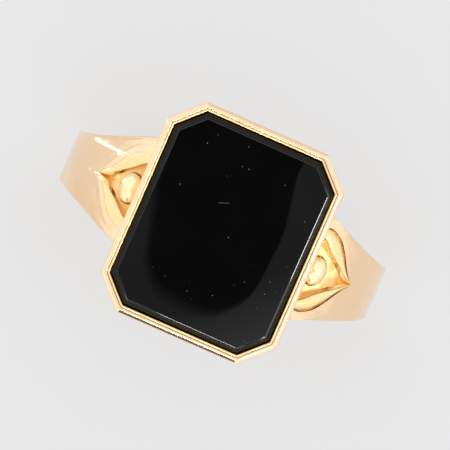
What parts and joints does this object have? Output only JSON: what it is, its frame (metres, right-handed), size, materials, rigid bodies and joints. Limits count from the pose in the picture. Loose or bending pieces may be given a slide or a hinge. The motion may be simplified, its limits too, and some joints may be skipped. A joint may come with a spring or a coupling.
{
  "type": "signet ring",
  "caption": "Gold signet ring with a bevelled octagonal black onyx tablet in a rubbed-over collet, on flared shoulders carved with a leaf and a bead.",
  "frame": {"origin": "centre of the finger hole", "axes": "+Y along the finger, +Z out of the stone's table, +X across the finger towards one shoulder"},
  "size_m": [0.0198, 0.0128, 0.022],
  "materials": {
    "gold": "polished yellow gold with a slight rosy tint",
    "solder": "polished gold solder, a little paler than the metal it joins",
    "onyx": "polished black onyx"
  },
  "bodies": {
    "root": {"onyx_tablet": "onyx", "collet_wall": "gold", "bearer_ledge": "gold", "gallery_plate": "gold", "shoulder_left": "gold", "shoulder_right": "gold", "bead_left": "gold", "bead_right": "gold", "shank": "gold", "solder_bearer": "solder", "solder_gallery": "solder", "solder_collet_left": "solder", "solder_collet_right": "solder", "solder_shank_left": "solder", "solder_shank_right": "solder"}
  },
  "joints": []
}
